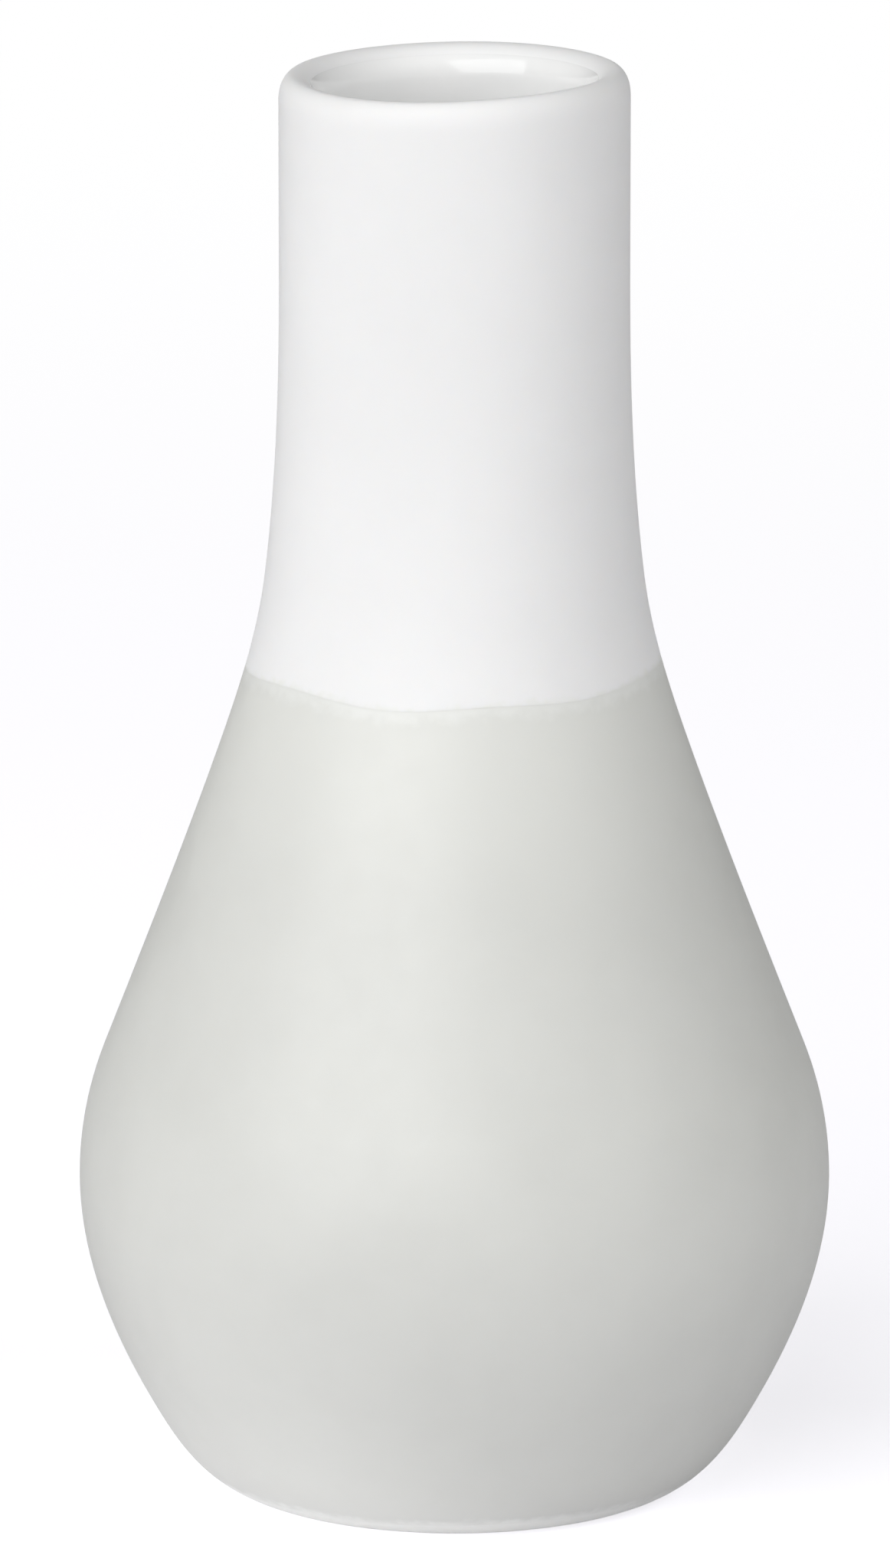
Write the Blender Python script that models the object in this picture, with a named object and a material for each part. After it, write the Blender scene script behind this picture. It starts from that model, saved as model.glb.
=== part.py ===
"""Ceramic bud vase: one slip-cast porcelain body and the fired layers on it.

The body is a single revolved shell with a rounded lip, a straight neck, a low round
belly and a foot ring around a shallow recess. Three thin layers sit on it, each a solid
of its own: the gloss glaze that lines the inside, the tinted matt coat that the lower
half was dipped in, and the same coat inside the foot recess.

Metres, +Z up. The origin is the middle of the foot, on the surface that the vase
stands on, and the vase is turned about the Z axis.
"""

import math

import bmesh
import bpy
from mathutils import Vector

MM = 0.001
TURN_STEPS = 48
MERGE_DISTANCE = 0.001 * MM
SHARP_EDGE = math.radians(40)

# Overall sizes, in millimetres
HEIGHT = 110.0
NECK_RADIUS = 13.25
BELLY_RADIUS = 28.7
BELLY_LEVEL = 24.0
FOOT_RADIUS = 15.5
WALL = 3.0

# Foot ring, floor and the recess under it
RECESS_RADIUS = 12.0
RECESS_TAPER = 0.5
RECESS_DEPTH = 1.2
FLOOR_LEVEL = 5.0
FLOOR_RADIUS = 9.0

# Thin layers and the gap that keeps neighbouring solids apart
COAT = 0.3
GLAZE = 0.3
GAP = 0.3

# Where the coat ends, above and below. The glaze ends at the mouth's edge.
DIP_LINE = 64.2
COAT_FOOT_LINE = 1.5

# Stations of the outside, from the foot up. Each is a radius, a level, the wall's lean
# from upright in degrees, positive where the vase widens upwards, and the number of
# straight steps that the curve from the station before it is made in.
OUTSIDE = [
    (FOOT_RADIUS, 0.0, 90.0, 0),
    (22.6, 5.5, 30.5, 6),
    (BELLY_RADIUS, BELLY_LEVEL, 0.0, 6),
    (26.85, 33.8, -21.2, 4),
    (17.9, 57.6, -19.2, 3),
    (14.4, 70.9, -7.0, 3),
    (NECK_RADIUS, 95.0, 0.0, 3),
    (NECK_RADIUS, 107.9, 0.0, 1),
]

# Stations of the bare lip, from the outside over its crest to the glaze
LIP = [
    OUTSIDE[-1],
    (12.67, 109.78, -45.0, 3),
    (12.2, HEIGHT, -90.0, 2),
    (11.33, 109.743, -122.0, 1),
]

# Stations of the mouth's wide inner round, from the straight wall up to the glaze's edge
MOUTH = (NECK_RADIUS - WALL, 107.55, 0.0, 1)
MOUTH_EDGE = (10.99, 109.47, 45.0, 3)

# The inside follows the outside, one wall in, from the belly up. Below the belly it
# rounds off into a thicker, flat floor.
FLOOR_BEND = (19.2, 9.4, 35.0)
FLOOR_STEPS = 5
LOWER_WALL_STEPS = 4

# Base colour, roughness
MATERIALS = {
    "porcelain_body": ("bare_porcelain", (0.86, 0.855, 0.84), 0.62),
    "interior_glaze": ("gloss_glaze", (0.88, 0.88, 0.87), 0.08),
    "dip_coat": ("tinted_coat", (0.76, 0.77, 0.725), 0.55),
    "base_coat": ("tinted_base_coat", (0.76, 0.77, 0.725), 0.55),
}


def heading(lean):
    """Unit direction of a wall, seen in section, that leans by this many degrees."""
    angle = math.radians(lean)
    return Vector((math.sin(angle), math.cos(angle)))


def inset(station, depth):
    """The same station on a surface this far inside."""
    radius, level, lean, steps = station
    along = heading(lean)
    return (radius - depth * along.y, level + depth * along.x, lean, steps)


def bend(start, end):
    """Points and outward normals along the curve between two stations.

    The curve is a cubic that leaves and meets the stations at their leans, with the
    handle length that makes an even bend a circular arc.
    """
    first, last = Vector(start[:2]), Vector(end[:2])
    turn = math.radians(abs(end[2] - start[2]))
    chord = (last - first).length
    handle = chord / 3
    if turn > 1e-6:
        handle = chord * (4 / 3) * math.tan(turn / 4) / (2 * math.sin(turn / 2))
    control = (first, first + heading(start[2]) * handle, last - heading(end[2]) * handle, last)
    for step in range(1, end[3] + 1):
        yield bezier(control, step / end[3])


def bezier(control, t):
    """Point and outward normal at t on a cubic in the section plane."""
    a, b, c, d = control
    s = 1 - t
    point = a * s**3 + b * 3 * s * s * t + c * 3 * s * t * t + d * t**3
    along = ((b - a) * s * s + (c - b) * 2 * s * t + (d - c) * t * t).normalized()
    return point, Vector((along.y, -along.x))


def outline(stations):
    """Points and outward normals of the smooth line through the stations."""
    start = stations[0]
    along = heading(start[2])
    line = [(Vector(start[:2]), Vector((along.y, -along.x)))]
    for last, station in zip(stations, stations[1:]):
        line.extend(bend(last, station))
    return line


def level_cut(line, level):
    """Point and normal where an outline passes a level."""
    for (low, low_normal), (high, high_normal) in zip(line, line[1:]):
        if low.y <= level <= high.y:
            share = (level - low.y) / (high.y - low.y)
            return low.lerp(high, share), low_normal.lerp(high_normal, share).normalized()
    raise ValueError(f"the outline does not pass {level}")


def between(line, low, high):
    """The stretch of an outline between two levels, with its ends cut exactly there."""
    middle = [pair for pair in line if low < pair[0].y < high]
    return [level_cut(line, low)] + middle + [level_cut(line, high)]


def above(line, low):
    """The stretch of an outline above a level, with its start cut exactly there."""
    return [level_cut(line, low)] + [pair for pair in line if low < pair[0].y]


def sunk(line, depth):
    """An outline's points, moved this far into the wall."""
    return [point - normal * depth for point, normal in line]


def outside_line():
    """The vase's outside, from the edge of the foot ring to the start of the lip."""
    return outline(OUTSIDE)


def inside_line():
    """The vase's inside, from the middle of the floor to the glaze's edge on the lip.

    Its normals point into the wall, away from the hollow.
    """
    upper = [inset(station, WALL) for station in OUTSIDE[2:-1]]
    belly = upper[0][:3] + (LOWER_WALL_STEPS,)
    floor_edge = (FLOOR_RADIUS, FLOOR_LEVEL, 90.0, 1)
    floor = [(0.0, FLOOR_LEVEL, 90.0, 0), floor_edge, FLOOR_BEND + (FLOOR_STEPS,)]
    return outline(floor + [belly] + upper[1:] + [MOUTH, MOUTH_EDGE])


def bare_lip():
    """The unglazed round of the lip, and the step down to the glaze's hidden side."""
    line = outline(LIP)[1:]
    return sunk(line, 0) + sunk(line[-1:], GLAZE + GAP)


def body_section():
    """Half section of the porcelain, from the axis under the floor to the axis above it.

    The outside steps in where the coat lies on it, and the inside where the glaze does.
    """
    outside = outside_line()
    dip_top = DIP_LINE + GAP
    coat_bottom = COAT_FOOT_LINE - GAP
    ceiling = RECESS_DEPTH + COAT + GAP
    section = [Vector((0, ceiling)), Vector((RECESS_RADIUS - RECESS_TAPER, ceiling))]
    section.append(Vector((RECESS_RADIUS, 0)))
    section += sunk(between(outside, 0, coat_bottom), 0)
    section += sunk(between(outside, coat_bottom, dip_top), COAT + GAP)
    section += sunk(above(outside, dip_top), 0)
    section += bare_lip()
    section += reversed(sunk(inside_line(), -(GLAZE + GAP)))
    return section


def glaze_section():
    """Half section of the lining: its hidden side from the axis up, then its face."""
    line = inside_line()
    return sunk(line, -GLAZE) + list(reversed(sunk(line, 0)))


def dip_section():
    """Half section of the coat around the lower half, a closed ring."""
    line = between(outside_line(), COAT_FOOT_LINE, DIP_LINE)
    return sunk(line, 0) + list(reversed(sunk(line, COAT)))


def base_section():
    """Half section of the coat in the foot recess, a thin disc."""
    radius = RECESS_RADIUS - RECESS_TAPER - GAP
    under, over = RECESS_DEPTH, RECESS_DEPTH + COAT
    return [Vector((0, under)), Vector((radius, under)), Vector((radius, over)), Vector((0, over))]


def turned_solid(name, section, ring):
    """Object made by turning a half section about Z.

    A ring's section is a loop clear of the axis. Any other section starts and ends on
    the axis, where each end closes in one shared point.
    """
    shape = bmesh.new()
    loop = [shape.verts.new((point.x * MM, 0, point.y * MM)) for point in section]
    pairs = list(zip(loop, loop[1:]))
    if ring:
        pairs.append((loop[-1], loop[0]))
    edges = [shape.edges.new(pair) for pair in pairs]
    bmesh.ops.spin(shape, geom=loop + edges, axis=(0, 0, 1), cent=(0, 0, 0),
                   angle=2 * math.pi, steps=TURN_STEPS, use_merge=True)
    bmesh.ops.remove_doubles(shape, verts=shape.verts, dist=MERGE_DISTANCE)
    bmesh.ops.recalc_face_normals(shape, faces=shape.faces)
    mesh = bpy.data.meshes.new(name)
    shape.to_mesh(mesh)
    shape.free()
    mesh.shade_smooth()
    mesh.set_sharp_from_angle(angle=SHARP_EDGE)
    solid = bpy.data.objects.new(name, mesh)
    bpy.context.scene.collection.objects.link(solid)
    return solid


def give_material(solid):
    """Assign the sub-part's own material."""
    name, colour, roughness = MATERIALS[solid.name]
    material = bpy.data.materials.new(name)
    material.use_nodes = True
    shader = material.node_tree.nodes["Principled BSDF"]
    shader.inputs["Base Color"].default_value = (*colour, 1)
    shader.inputs["Roughness"].default_value = roughness
    shader.inputs["Metallic"].default_value = 0
    solid.data.materials.append(material)


def build_vase():
    """Make the four sub-parts, parented to one empty at the middle of the foot."""
    root = bpy.data.objects.new("vase", None)
    bpy.context.scene.collection.objects.link(root)
    parts = [
        turned_solid("porcelain_body", body_section(), ring=False),
        turned_solid("interior_glaze", glaze_section(), ring=False),
        turned_solid("dip_coat", dip_section(), ring=True),
        turned_solid("base_coat", base_section(), ring=False),
    ]
    for solid in parts:
        give_material(solid)
        solid.parent = root


for leftover in list(bpy.data.objects):
    bpy.data.objects.remove(leftover)
build_vase()
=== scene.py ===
import math

import bpy
import numpy as np
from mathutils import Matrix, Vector


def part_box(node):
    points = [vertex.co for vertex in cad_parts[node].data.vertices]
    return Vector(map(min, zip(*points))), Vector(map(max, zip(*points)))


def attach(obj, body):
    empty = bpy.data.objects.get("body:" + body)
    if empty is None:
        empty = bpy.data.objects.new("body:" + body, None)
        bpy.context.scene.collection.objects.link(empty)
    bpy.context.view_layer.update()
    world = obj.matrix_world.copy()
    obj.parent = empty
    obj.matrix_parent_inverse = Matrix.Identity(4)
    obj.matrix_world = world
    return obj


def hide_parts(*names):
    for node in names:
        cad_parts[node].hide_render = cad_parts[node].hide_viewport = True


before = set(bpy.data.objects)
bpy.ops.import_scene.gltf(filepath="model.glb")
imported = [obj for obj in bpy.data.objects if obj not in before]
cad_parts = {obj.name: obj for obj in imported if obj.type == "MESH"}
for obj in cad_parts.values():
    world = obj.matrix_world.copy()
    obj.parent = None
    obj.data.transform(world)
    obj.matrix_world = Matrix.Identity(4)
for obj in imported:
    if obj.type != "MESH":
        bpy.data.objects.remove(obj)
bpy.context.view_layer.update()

# The bud vase: a bare porcelain shell, the gloss glaze that lines it, the tinted coat its
# lower half was dipped in, and the same coat in its foot recess. All four are turned
# about Z. Sizes are millimetres from here on, and metres only in the meshes.

MM = 0.001


def reach(node):
    """Largest radius, lowest level and highest level of a CAD node."""
    low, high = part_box(node)
    return high[0] / MM, low[2] / MM, high[2] / MM


# Sizes read from the frame
_, _, HEIGHT = reach("porcelain_body")
BELLY_RADIUS, COAT_FOOT_LINE, DIP_LINE = reach("dip_coat")
PANEL_RADIUS, PANEL_LEVEL, _ = reach("base_coat")

# The shape between them, with the same stations as the CAD outline: a radius, a level
# and the wall's lean from upright in degrees, positive where the vase widens upwards
NECK_RADIUS = 13.25
WALL = 3.0
FOOT_RADIUS = 15.5
OUTSIDE = [
    (FOOT_RADIUS, 0.0, 90.0),
    (22.6, 5.5, 30.5),
    (BELLY_RADIUS, 24.0, 0.0),
    (26.85, 33.8, -21.2),
    (17.9, 57.6, -19.2),
    (14.4, 70.9, -7.0),
    (NECK_RADIUS, 95.0, 0.0),
    (NECK_RADIUS, HEIGHT - 2.1, 0.0),
]
FLOOR = [(0.0, 5.0, 90.0), (9.0, 5.0, 90.0), (19.2, 9.4, 35.0)]

# The mouth's wide inner round ends at the glaze's edge, where the bare lip's last
# station meets it from the other side
MOUTH = (NECK_RADIUS - WALL, HEIGHT - 2.45, 0.0)
MOUTH_EDGE = (10.99, HEIGHT - 0.53, 45.0)
LIP = [
    OUTSIDE[-1],
    (12.67, HEIGHT - 0.22, -45.0),
    (12.2, HEIGHT, -90.0),
    (MOUTH_EDGE[0], MOUTH_EDGE[1], MOUTH_EDGE[2] - 180.0),
]

# Foot ring: the recess inside it, and how far its flat keeps off its two edges
RECESS_RADIUS = 12.0
RECESS_TAPER = 0.5
FLAT_MARGIN = 1.2

# Fired thickness of the layers, and the hairline left between neighbouring pieces
COAT = 0.15
GLAZE = 0.15
HAIRLINE = 0.02

# A layer's edge is feathered: over this reach it thins out, and its face sinks from just
# proud of the porcelain to just under it. The coat starts a little outside its own line.
EDGE_REACH = 1.2
GLAZE_REACH = 2.4
FEATHER = 0.004
COAT_OVERLAP = 0.2 * EDGE_REACH

# The edges' waves around the vase: count, size in millimetres and phase in degrees
DIP_WAVES = ((1, 0.17, -14), (3, 0.17, -112), (5, 0.15, 26), (7, 0.08, 35))
WIPE_WAVES = ((2, 0.05, 40), (5, 0.04, 10), (9, 0.03, 75))
RECESS_WAVES = ((3, 0.08, 20), (7, 0.05, 50))
RIM_WAVES = ((1, 0.24, 0), (2, 0.07, 0), (3, 0.04, 0))

# The rim's waves fade in over this stretch of the neck
SETTLE_START = 75.0
SETTLE_STRETCH = 25.0

# The wiped foot shows only near its line, and a point that is nowhere near an edge has
# this distance from it
WIPED_BAND = 20.0
FAR_OFF = -99.0

# Mesh fineness: points around, the longest step along a section, and the number of
# points along the stretches that change with the angle
TURN = 192
STEP = 0.8
LIP_STEP = 0.12
FOOT_POINTS = 7
COAT_EDGE_POINTS = 13
COAT_POINTS = 84
NECK_POINTS = 70
PANEL_POINTS = 14


# ---------------------------------------------------------------- section curves

def heading(lean):
    """Unit direction of a wall, seen in section, that leans by this many degrees."""
    angle = math.radians(lean)
    return np.array((math.sin(angle), math.cos(angle)))


def outward(along):
    """Outward normals of a section that runs upwards along these directions."""
    return np.stack((along[..., 1], -along[..., 0]), axis=-1)


def bend(start, end, longest):
    """Points and normals after the start on the curve between two stations.

    The handle length makes an even bend a circular arc. A straight stretch has no turn,
    and its handles are a third of it.
    """
    first, last = np.array(start[:2]), np.array(end[:2])
    turn = math.radians(abs(end[2] - start[2]))
    chord = np.linalg.norm(last - first)
    handle = chord / 3
    if turn > 1e-6:
        handle = chord * (4 / 3) * math.tan(turn / 4) / (2 * math.sin(turn / 2))
    a, b = first, first + heading(start[2]) * handle
    c, d = last - heading(end[2]) * handle, last
    steps = math.ceil(chord / longest)
    t = np.linspace(0, 1, steps + 1)[1:, None]
    s = 1 - t
    points = a * s**3 + b * 3 * s**2 * t + c * 3 * s * t**2 + d * t**3
    along = (b - a) * s**2 + (c - b) * 2 * s * t + (d - c) * t**2
    along /= np.linalg.norm(along, axis=1)[:, None]
    return points, outward(along)


def outline(stations, longest=STEP):
    """Points and outward normals of the smooth line through the stations."""
    points = [np.array([stations[0][:2]])]
    normals = [outward(heading(stations[0][2]))[None]]
    for start, end in zip(stations, stations[1:]):
        more_points, more_normals = bend(start, end, longest)
        points.append(more_points)
        normals.append(more_normals)
    return np.concatenate(points), np.concatenate(normals)


def inset(station, depth):
    """The same station on a surface this far inside."""
    normal = outward(heading(station[2]))
    radius, level = np.array(station[:2]) - normal * depth
    return radius, level, station[2]


def along_line(points):
    """Distance along a line of points, from its first."""
    steps = np.linalg.norm(np.diff(points, axis=0), axis=1)
    return np.concatenate(((0.0,), np.cumsum(steps)))


def smooth(value):
    """Eases from 0 to 1 as the value does."""
    value = np.clip(value, 0, 1)
    return value * value * (3 - 2 * value)


# ---------------------------------------------------------------- where the layers end

def wave(angle, waves):
    """Sum of sines around the vase, each with a count, a size and a phase in degrees."""
    total = np.zeros_like(angle)
    for count, size, phase in waves:
        total += size * np.sin(count * angle + math.radians(phase))
    return total


def dip_line(angle):
    """Level of the coat's upper edge, which wanders a little around the shoulder."""
    return DIP_LINE + wave(angle, DIP_WAVES)


def wipe_line(angle):
    """Level of the coat's lower edge, where the foot was wiped before firing."""
    return COAT_FOOT_LINE + wave(angle, WIPE_WAVES)


def settled(points, angle):
    """A section whose neck sinks a little towards the rim, which isn't quite level."""
    peak = wave(np.linspace(0, 2 * math.pi, TURN, endpoint=False), RIM_WAVES).max()
    share = smooth((points[:, 1] - SETTLE_START) / SETTLE_STRETCH)
    points[:, 1] += share * (wave(angle, RIM_WAVES) - peak)
    return points


# ---------------------------------------------------------------- turned pieces

def turned_faces(count, ring):
    """Faces between TURN rows of this many points each.

    A ring's rows are loops. The others' ends are closed by fans, to the point that
    follows the last row and the point after that.
    """
    pairs = list(zip(range(count - 1), range(1, count)))
    if ring:
        pairs.append((count - 1, 0))
    faces = []
    for turn in range(TURN):
        here, there = turn * count, (turn + 1) % TURN * count
        faces += [(here + i, there + i, there + j, here + j) for i, j in pairs]
        if not ring:
            faces.append((there, here, TURN * count))
            faces.append((here + count - 1, there + count - 1, TURN * count + 1))
    return faces


def turned(name, section, tags=(), ring=False):
    """A piece turned about Z.

    section(angle) gives the points for one angle and a value per point for each tag,
    which the materials read. A ring's section is a loop clear of the axis. Any other
    starts and ends on the axis.
    """
    angles = 2 * math.pi * np.arange(TURN) / TURN
    sections = [section(angle) for angle in angles]
    points = np.stack([found[0] for found in sections])
    values = np.stack([found[1] for found in sections])
    # Angle 0 faces the front, which is -Y, and angles grow towards +X
    x = points[..., 0] * np.sin(angles)[:, None]
    y = -points[..., 0] * np.cos(angles)[:, None]
    places = np.stack((x, y, points[..., 1]), axis=-1) * MM
    data = np.concatenate((places, values), axis=-1)
    rows = data if ring else data[:, 1:-1]
    verts = rows.reshape(-1, data.shape[2])
    if not ring:
        verts = np.concatenate((verts, data[0, :1], data[0, -1:]))
    mesh = bpy.data.meshes.new(name)
    mesh.from_pydata(verts[:, :3].tolist(), [], turned_faces(rows.shape[1], ring))
    for column, tag in enumerate(tags, start=3):
        layer = mesh.attributes.new(tag, "FLOAT", "POINT")
        layer.data.foreach_set("value", verts[:, column].astype(np.float32))
    mesh.shade_smooth()
    mesh.update()
    piece = bpy.data.objects.new(name, mesh)
    bpy.context.scene.collection.objects.link(piece)
    return piece


OUTSIDE_POINTS, OUTSIDE_NORMALS = outline(OUTSIDE)
OUTSIDE_LENGTH = along_line(OUTSIDE_POINTS)


def outside_at(length):
    """Points and normals of the outside at these distances from the foot's edge."""
    columns = np.concatenate((OUTSIDE_POINTS, OUTSIDE_NORMALS), axis=1).T
    found = np.stack([np.interp(length, OUTSIDE_LENGTH, column) for column in columns], axis=-1)
    points, normals = found[:, :2], found[:, 2:]
    return points, normals / np.linalg.norm(normals, axis=1)[:, None]


def length_at(level):
    """Distance from the foot's edge to this level, along the outside."""
    return np.interp(level, OUTSIDE_POINTS[:, 1], OUTSIDE_LENGTH)


def coat_lengths(angle):
    """Places along the outside under the coat, close together near its two edges."""
    low, high = length_at(wipe_line(angle)), length_at(dip_line(angle))
    edge = np.linspace(-COAT_OVERLAP, EDGE_REACH, COAT_EDGE_POINTS)
    middle = np.linspace(low + EDGE_REACH, high - EDGE_REACH, COAT_POINTS)[1:-1]
    return np.concatenate((low + edge, middle, high - edge[::-1]))


def edge_distances(lengths, angle):
    """Distances of these places below the dip line, and above the wiped line."""
    return length_at(dip_line(angle)) - lengths, lengths - length_at(wipe_line(angle))


def into_coat(lengths):
    """Distance of each place from the coat's nearer edge, negative outside it."""
    return np.minimum(lengths - lengths[0], lengths[-1] - lengths) - COAT_OVERLAP


def inside_outline():
    """The inside, from the middle of the floor to the glaze's edge on the lip."""
    upper = [inset(station, WALL) for station in OUTSIDE[2:-1]]
    points, normals = outline(FLOOR + upper + [MOUTH])
    lip_points, lip_normals = bend(MOUTH, MOUTH_EDGE, LIP_STEP)
    return np.concatenate((points, lip_points)), np.concatenate((normals, lip_normals))


INSIDE_POINTS, INSIDE_NORMALS = inside_outline()
INSIDE_LENGTH = along_line(INSIDE_POINTS)


def into_glaze():
    """Share of its full thickness that the glaze has along the inside."""
    return smooth((INSIDE_LENGTH[-1] - INSIDE_LENGTH) / GLAZE_REACH)


def foot_recess():
    """The recess, from the axis over its two small rounds, and the foot ring's flat."""
    ceiling = PANEL_LEVEL + COAT + HAIRLINE
    wall = RECESS_RADIUS - RECESS_TAPER
    return np.array((
        (0.0, ceiling),
        (wall - 0.5, ceiling),
        (wall - 0.15, ceiling - 0.12),
        (wall, ceiling - 0.45),
        (RECESS_RADIUS - 0.3, 0.25),
        (RECESS_RADIUS - 0.2, 0.08),
        (RECESS_RADIUS, 0.0),
        (RECESS_RADIUS + FLAT_MARGIN, 0.0),
        (FOOT_RADIUS - FLAT_MARGIN, 0.0),
    ))


def body_section(angle):
    """Half section of the porcelain, from the axis under the floor to the axis above it.

    Each point on the outside has its distance below the dip line and above the wiped
    line. The porcelain steps in under the coat and under the glaze.
    """
    recess = foot_recess()
    coated = coat_lengths(angle)
    foot = np.linspace(0, coated[0], FOOT_POINTS)[:-1]
    neck = np.linspace(coated[-1], OUTSIDE_LENGTH[-1], NECK_POINTS)[1:]
    lengths = np.concatenate((foot, coated, neck))
    points, normals = outside_at(lengths)
    under_coat = (COAT + HAIRLINE) * smooth(into_coat(coated) / EDGE_REACH)
    depth = np.concatenate((foot * 0, under_coat, neck * 0))
    outside = points - normals * depth[:, None]
    lip = outline(LIP, LIP_STEP)[0][1:-1]
    under_glaze = (GLAZE + HAIRLINE) * into_glaze()
    lining = (INSIDE_POINTS + INSIDE_NORMALS * under_glaze[:, None])[::-1]
    section = settled(np.concatenate((recess, outside, lip, lining)), angle)
    below_dip, above_foot = edge_distances(lengths, angle)
    above_foot = np.where(above_foot < WIPED_BAND, above_foot, FAR_OFF)
    values = np.full((len(section), 2), FAR_OFF)
    start = len(recess)
    values[start:start + len(lengths)] = np.stack((below_dip, above_foot), axis=-1)
    return section, values


def coat_section(angle):
    """Half section of the coat, its face from the foot up, then its hidden side."""
    lengths = coat_lengths(angle)
    points, normals = outside_at(lengths)
    inward = into_coat(lengths)
    proud = FEATHER * (2 * smooth(0.5 + inward / EDGE_REACH) - 1)
    thick = 3 * FEATHER + COAT * smooth(inward / EDGE_REACH)
    face = points + normals * proud[:, None]
    section = np.concatenate((face, (face - normals * thick[:, None])[::-1]))
    values = np.stack(edge_distances(lengths, angle), axis=-1)
    return section, np.concatenate((values, values[::-1]))


def glaze_section(angle):
    """Half section of the glaze, its hidden side from the axis up, then its face."""
    share = into_glaze()[:, None]
    face = INSIDE_POINTS - INSIDE_NORMALS * FEATHER * (2 * share - 1)
    back = face + INSIDE_NORMALS * (3 * FEATHER + GLAZE * share)
    section = settled(np.concatenate((back, face[::-1])), angle)
    return section, np.zeros((len(section), 0))


def panel_section(angle):
    """Half section of the coat in the recess, a disc that thins out at a wavy edge.

    Each point has its distance from that edge. The coat is full thickness 1 mm inside it.
    """
    edge = PANEL_RADIUS + wave(angle, RECESS_WAVES)
    from_edge = np.concatenate((np.linspace(edge, 1.0, PANEL_POINTS), (0.7, 0.45, 0.25, 0.1)))
    thick = COAT * np.sqrt(np.clip(from_edge, 0, 1))
    top = PANEL_LEVEL + COAT
    face = np.stack((edge - from_edge, top - thick), axis=-1)
    back = np.stack((edge - from_edge, np.full(len(from_edge), top)), axis=-1)
    rim = np.array(((edge, top - 0.05 * COAT),))
    section = np.concatenate((face, rim, back[::-1]))
    return section, edge - section[:, :1]


# ---------------------------------------------------------------- materials

class Surface:
    """A material, with short calls for the nodes that the porcelain layers share."""

    def __init__(self, name, roughness, specular=0.5):
        self.material = bpy.data.materials.new(name)
        self.material.use_nodes = True
        self.tree = self.material.node_tree
        self.shader = self.tree.nodes["Principled BSDF"]
        self.shader.inputs["Roughness"].default_value = roughness
        self.shader.inputs["Specular IOR Level"].default_value = specular
        self.shader.inputs["Metallic"].default_value = 0.0
        self.place = self.tree.nodes.new("ShaderNodeTexCoord").outputs["Object"]

    def link(self, source, target):
        self.tree.links.new(source, target)

    def noise(self, size_mm, detail=3.0):
        """Noise whose features are about this many millimetres across."""
        node = self.tree.nodes.new("ShaderNodeTexNoise")
        node.inputs["Scale"].default_value = 1 / (size_mm * MM)
        node.inputs["Detail"].default_value = detail
        self.link(self.place, node.inputs["Vector"])
        return node.outputs["Fac"]

    def spread(self, value, low, high, to_low, to_high, ease="LINEAR"):
        """Maps a value's range onto another, and holds it at the ends."""
        node = self.tree.nodes.new("ShaderNodeMapRange")
        node.interpolation_type = ease
        self.link(value, node.inputs["Value"])
        for socket, number in zip(("From Min", "From Max", "To Min", "To Max"),
                                  (low, high, to_low, to_high)):
            node.inputs[socket].default_value = number
        return node.outputs["Result"]

    def combine(self, operation, first, second):
        """Result of a Math node that works on two sockets."""
        node = self.tree.nodes.new("ShaderNodeMath")
        node.operation = operation
        self.link(first, node.inputs[0])
        self.link(second, node.inputs[1])
        return node.outputs[0]

    def distance(self, point):
        """Distance in metres from a point."""
        node = self.tree.nodes.new("ShaderNodeVectorMath")
        node.operation = "DISTANCE"
        self.link(self.place, node.inputs[0])
        node.inputs[1].default_value = point
        return node.outputs["Value"]

    def tag(self, name):
        """A value that the piece's mesh carries at each point."""
        node = self.tree.nodes.new("ShaderNodeAttribute")
        node.attribute_name = name
        return node.outputs["Fac"]

    def blend(self, share, first, second):
        """Mix of two colours, each a tuple or a socket."""
        node = self.tree.nodes.new("ShaderNodeMix")
        node.data_type = "RGBA"
        self.link(share, node.inputs[0])
        for socket, colour in ((node.inputs[6], first), (node.inputs[7], second)):
            if isinstance(colour, tuple):
                socket.default_value = (*colour, 1)
            else:
                self.link(colour, socket)
        return node.outputs[2]

    def colour(self, socket):
        self.link(socket, self.shader.inputs["Base Color"])

    def roughness(self, socket):
        self.link(socket, self.shader.inputs["Roughness"])

    def bump(self, *layers):
        """Fine relief from pairs of a height and its depth in millimetres."""
        normal = None
        for height, depth_mm in layers:
            node = self.tree.nodes.new("ShaderNodeBump")
            node.inputs["Strength"].default_value = 1.0
            node.inputs["Distance"].default_value = depth_mm * MM
            self.link(height, node.inputs["Height"])
            if normal is not None:
                self.link(normal, node.inputs["Normal"])
            normal = node.outputs["Normal"]
        self.link(normal, self.shader.inputs["Normal"])

    def translucent(self, weight, radius_mm):
        """The faint glow of light that has passed through the surface, warm as it fades."""
        self.shader.inputs["Subsurface Weight"].default_value = weight
        self.shader.inputs["Subsurface Radius"].default_value = (1.0, 0.85, 0.7)
        self.shader.inputs["Subsurface Scale"].default_value = radius_mm * MM


# Base colours: bare white and its mottle, the coat and its mottle, the coat's paler top
# and its thin edge, the film on the wiped foot, and the glaze and its pools
WHITE = (0.898, 0.898, 0.894)
WHITE_SHADE = (0.884, 0.884, 0.880)
COAT_COLOUR = (0.724, 0.728, 0.690)
COAT_SHADE = (0.706, 0.710, 0.673)
COAT_UPPER = (0.776, 0.780, 0.737)
COAT_THIN = (0.858, 0.864, 0.826)
FOOT_CREAM = (0.893, 0.898, 0.865)
GLAZE_COLOUR = (0.878, 0.878, 0.872)
GLAZE_POOL = (0.845, 0.85, 0.845)


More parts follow.
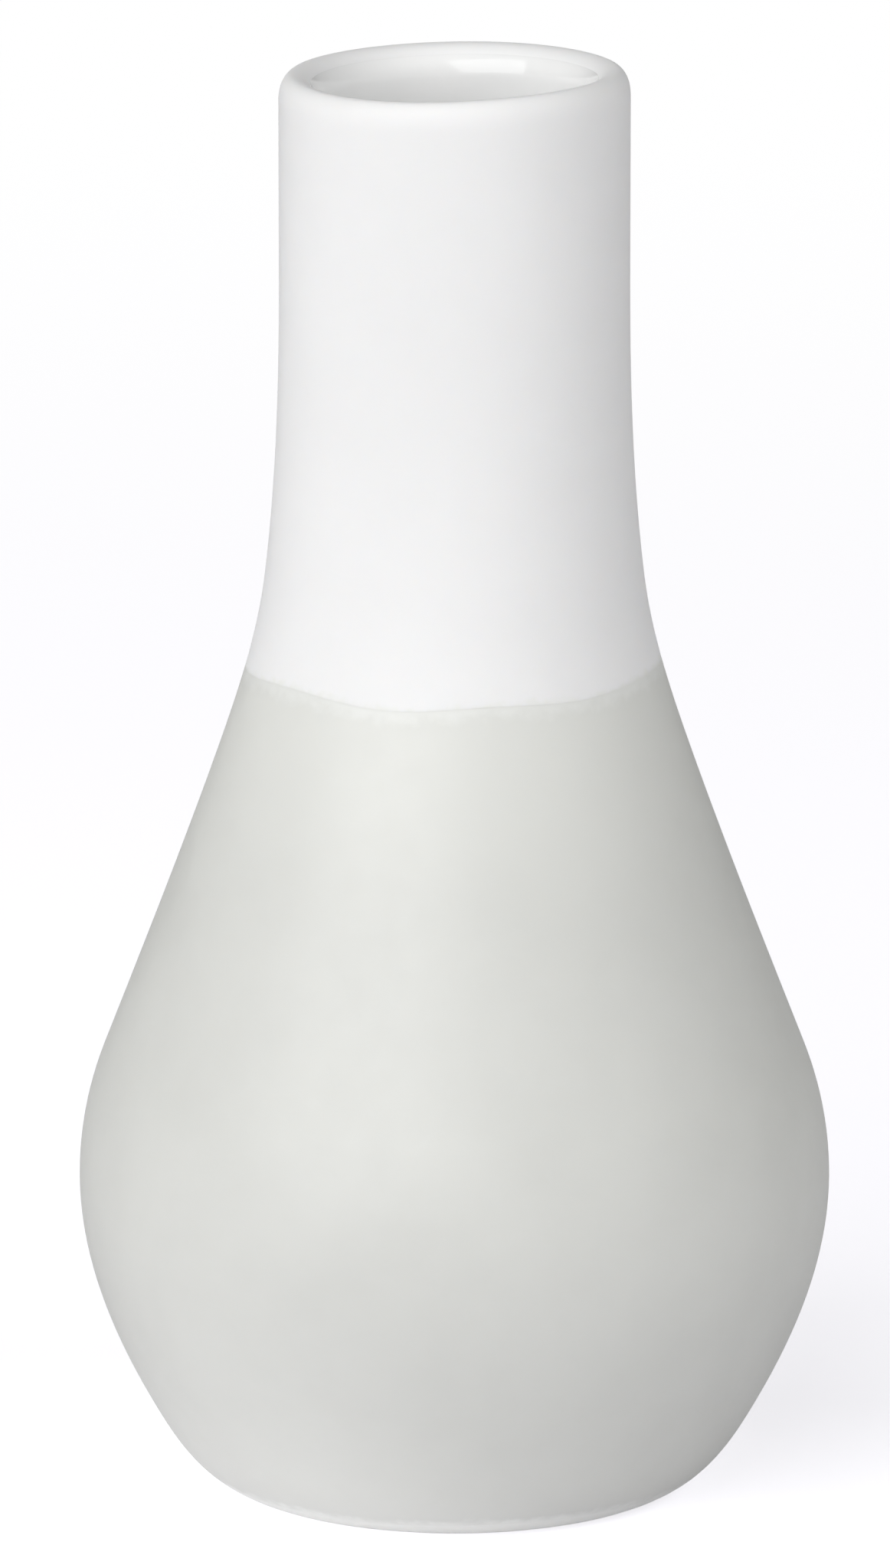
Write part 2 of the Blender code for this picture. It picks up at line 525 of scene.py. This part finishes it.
def bare_porcelain():
    """White and dry, with a very fine grain, and tinted a hair where the coat begins.

    The wiped foot keeps a creamy film of the coat.
    """
    surface = Surface("bare_porcelain", roughness=0.62, specular=0.4)
    mottle = surface.spread(surface.noise(9.0), 0.4, 0.7, 0, 1)
    white = surface.blend(mottle, WHITE, WHITE_SHADE)
    ragged = surface.spread(surface.noise(0.9), 0.3, 0.7, -0.35, 0.35)
    below_dip = surface.combine("ADD", surface.tag("below_dip"), ragged)
    near_dip = surface.spread(below_dip, -0.6, 0.25, 0, 1, "SMOOTHSTEP")
    tinted = surface.blend(near_dip, white, COAT_THIN)
    above_foot = surface.combine("ADD", surface.tag("above_foot"), ragged)
    wiped = surface.spread(above_foot, -1.0, 0.3, 0, 1, "SMOOTHSTEP")
    surface.colour(surface.blend(wiped, tinted, FOOT_CREAM))
    surface.roughness(surface.spread(surface.noise(1.5), 0.3, 0.7, 0.56, 0.68))
    grain, waviness = surface.noise(0.35, 4.0), surface.noise(4.0, 1.0)
    surface.bump((grain, 0.004), (waviness, 0.02))
    surface.translucent(0.15, 1.2)
    return surface.material


def tinted_coat(name, edges, thin_top=False):
    """The matt coat: paler and creamier where it thins out, faintly mottled elsewhere.

    Each edge is a tag and the reach in millimetres that the coat thins out over. With
    thin_top it also pales slowly over the last 18 mm below the dip line.
    """
    surface = Surface(name, roughness=0.5, specular=0.5)
    mottle = surface.spread(surface.noise(7.0, 4.0), 0.38, 0.66, 0, 1)
    full = surface.blend(mottle, COAT_COLOUR, COAT_SHADE)
    if thin_top:
        lower = surface.spread(surface.tag("below_dip"), 1.0, 18.0, 0, 1, "SMOOTHSTEP")
        full = surface.blend(lower, COAT_UPPER, full)
    ragged = surface.spread(surface.noise(1.1), 0.3, 0.7, -0.3, 0.3)
    cover = None
    for tag, reach_mm in edges:
        depth = surface.combine("ADD", surface.tag(tag), ragged)
        share = surface.spread(depth, 0.0, reach_mm, 0, 1, "SMOOTHSTEP")
        cover = share if cover is None else surface.combine("MINIMUM", cover, share)
    surface.colour(surface.blend(cover, COAT_THIN, full))
    surface.roughness(surface.spread(surface.noise(2.0), 0.3, 0.7, 0.42, 0.52))
    grain, waviness = surface.noise(0.5, 3.0), surface.noise(5.0, 1.0)
    surface.bump((grain, 0.004), (waviness, 0.03))
    surface.translucent(0.08, 0.8)
    return surface.material


def gloss_glaze():
    """Clear gloss over white, barely wavy, slightly cooler where it pools."""
    surface = Surface("gloss_glaze", roughness=0.04, specular=0.35)
    mottle = surface.spread(surface.noise(8.0), 0.4, 0.7, 0, 1)
    surface.colour(surface.blend(mottle, GLAZE_COLOUR, GLAZE_POOL))
    surface.bump((surface.noise(3.0, 1.0), 0.012))
    return surface.material


# ---------------------------------------------------------------- the vase

def place(piece, node, material):
    """Gives a piece its material and its body, and hides the CAD node that it stands for."""
    piece.data.materials.append(material)
    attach(piece, "root")
    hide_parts(node)


EDGES = ("below_dip", "above_foot")
place(turned("porcelain_shell", body_section, EDGES), "porcelain_body",
      bare_porcelain())
place(turned("dipped_coat", coat_section, EDGES, ring=True), "dip_coat",
      tinted_coat("tinted_coat", (("below_dip", 1.3), ("above_foot", 1.1)), thin_top=True))
place(turned("glaze_lining", glaze_section), "interior_glaze", gloss_glaze())
place(turned("recess_coat", panel_section, ("from_edge",)), "base_coat",
      tinted_coat("tinted_recess_coat", (("from_edge", 1.0),)))


# ---------------------------------------------------------------- stage

# The floor, in metres: its radius, the middle of its lit spot, and the distances over
# which that spot's light and the floor's shadows fade out
STAGE_RADIUS = 6.0
STAGE_SIDES = 128
LIT_SPOT = (-0.017, -0.012, 0)
LIT_REACH = (0.005, 0.05)
SHADOW_REACH = (0.1, 0.6)


def camera_only(tree, strength):
    """An emission strength that only the camera's own rays see, and that lights nothing."""
    share = tree.nodes.new("ShaderNodeMath")
    share.operation = "MULTIPLY"
    tree.links.new(tree.nodes.new("ShaderNodeLightPath").outputs["Is Camera Ray"], share.inputs[0])
    share.inputs[1].default_value = strength
    return share.outputs[0]


def floor_material():
    """Matt white near the vase, where it takes a soft shadow, and plain white far off.

    Most of the floor's glow is for the camera alone. A little under the front left of
    the belly lights the vase too, as a lit table does.
    """
    surface = Surface("floor_white", roughness=1.0, specular=0.0)
    surface.shader.inputs["Base Color"].default_value = (0.69, 0.685, 0.715, 1)
    surface.shader.inputs["Emission Color"].default_value = (1, 0.99, 1.02, 1)
    lit = surface.spread(surface.distance(LIT_SPOT), *LIT_REACH, 0.25, 0, "SMOOTHSTEP")
    strength = surface.combine("ADD", lit, camera_only(surface.tree, 0.55))
    surface.link(strength, surface.shader.inputs["Emission Strength"])
    glow = surface.tree.nodes.new("ShaderNodeEmission")
    surface.link(camera_only(surface.tree, 1.0), glow.inputs["Strength"])
    mix = surface.tree.nodes.new("ShaderNodeMixShader")
    far = surface.spread(surface.distance((0, 0, 0)), *SHADOW_REACH, 0, 1, "SMOOTHSTEP")
    surface.link(far, mix.inputs[0])
    surface.link(surface.shader.outputs[0], mix.inputs[1])
    surface.link(glow.outputs[0], mix.inputs[2])
    surface.link(mix.outputs[0], surface.tree.nodes["Material Output"].inputs["Surface"])
    return surface.material


def pale_floor():
    """A wide flat disc at the level of the foot."""
    turns = 2 * math.pi * np.arange(STAGE_SIDES) / STAGE_SIDES
    rim = STAGE_RADIUS * np.stack((np.cos(turns), np.sin(turns), 0 * turns), axis=-1)
    mesh = bpy.data.meshes.new("floor")
    mesh.from_pydata(rim.tolist(), [], [tuple(range(STAGE_SIDES))])
    mesh.materials.append(floor_material())
    floor = bpy.data.objects.new("floor", mesh)
    bpy.context.scene.collection.objects.link(floor)


def white_backdrop():
    """White behind everything for the camera, and no light from it on the vase."""
    world = bpy.data.worlds.new("studio")
    world.use_nodes = True
    bpy.context.scene.world = world
    backdrop = world.node_tree.nodes["Background"]
    backdrop.inputs["Color"].default_value = (1, 1, 1, 1)
    world.node_tree.links.new(camera_only(world.node_tree, 1.0), backdrop.inputs["Strength"])


def direction(azimuth, elevation):
    """Unit vector from the vase; azimuth 0 is the front and grows towards +X."""
    a, e = math.radians(azimuth), math.radians(elevation)
    return np.array((math.sin(a) * math.cos(e), -math.cos(a) * math.cos(e), math.sin(e)))


def aim(thing, at, azimuth, elevation, distance):
    """Places a light or the camera this way from a point, looking at it."""
    away = Vector(direction(azimuth, elevation))
    thing.location = Vector(at) + away * distance
    thing.rotation_euler = (-away).to_track_quat("-Z", "Y").to_euler()


def softbox(name, azimuth, elevation, distance, size, radiance, mirrored=False):
    """A rectangular light whose face has this radiance, aimed at the vase.

    Only a mirrored one shows as a patch in the gloss glaze.
    """
    data = bpy.data.lights.new(name, "AREA")
    data.shape = "RECTANGLE"
    data.size, data.size_y = size
    data.energy = radiance * math.pi * size[0] * size[1]
    light = bpy.data.objects.new(name, data)
    bpy.context.scene.collection.objects.link(light)
    light.visible_camera = False
    light.visible_glossy = mirrored
    aim(light, (0, 0, HEIGHT * MM / 2), azimuth, elevation, distance)


def front_camera():
    """Looks down at the vase a little, from about a metre, through a long lens.

    It is aimed a hair left of the vase's axis and a hair below its middle.
    """
    data = bpy.data.cameras.new("camera")
    data.sensor_width = 36.0
    data.lens = 316.7
    data.clip_start, data.clip_end = 0.05, 50
    camera = bpy.data.objects.new("camera", data)
    bpy.context.scene.collection.objects.link(camera)
    bpy.context.scene.camera = camera
    middle = (-0.00072, 0, HEIGHT * MM / 2 - 0.0004)
    aim(camera, middle, 0, 13.64, 1.05)


pale_floor()
white_backdrop()
softbox("key", azimuth=-33, elevation=27.5, distance=0.9, size=(1.0, 0.75), radiance=3.44,
        mirrored=True)
softbox("left", azimuth=-90, elevation=36, distance=0.9, size=(0.5, 0.5), radiance=1.82)
softbox("right", azimuth=66, elevation=27, distance=0.5, size=(0.28, 0.28), radiance=4.4)
softbox("top", azimuth=0, elevation=88, distance=0.9, size=(0.3, 0.3), radiance=0.6)
softbox("back", azimuth=180, elevation=17, distance=1.0, size=(2.0, 0.5), radiance=1.7)
front_camera()
bpy.context.scene.view_settings.view_transform = "Standard"
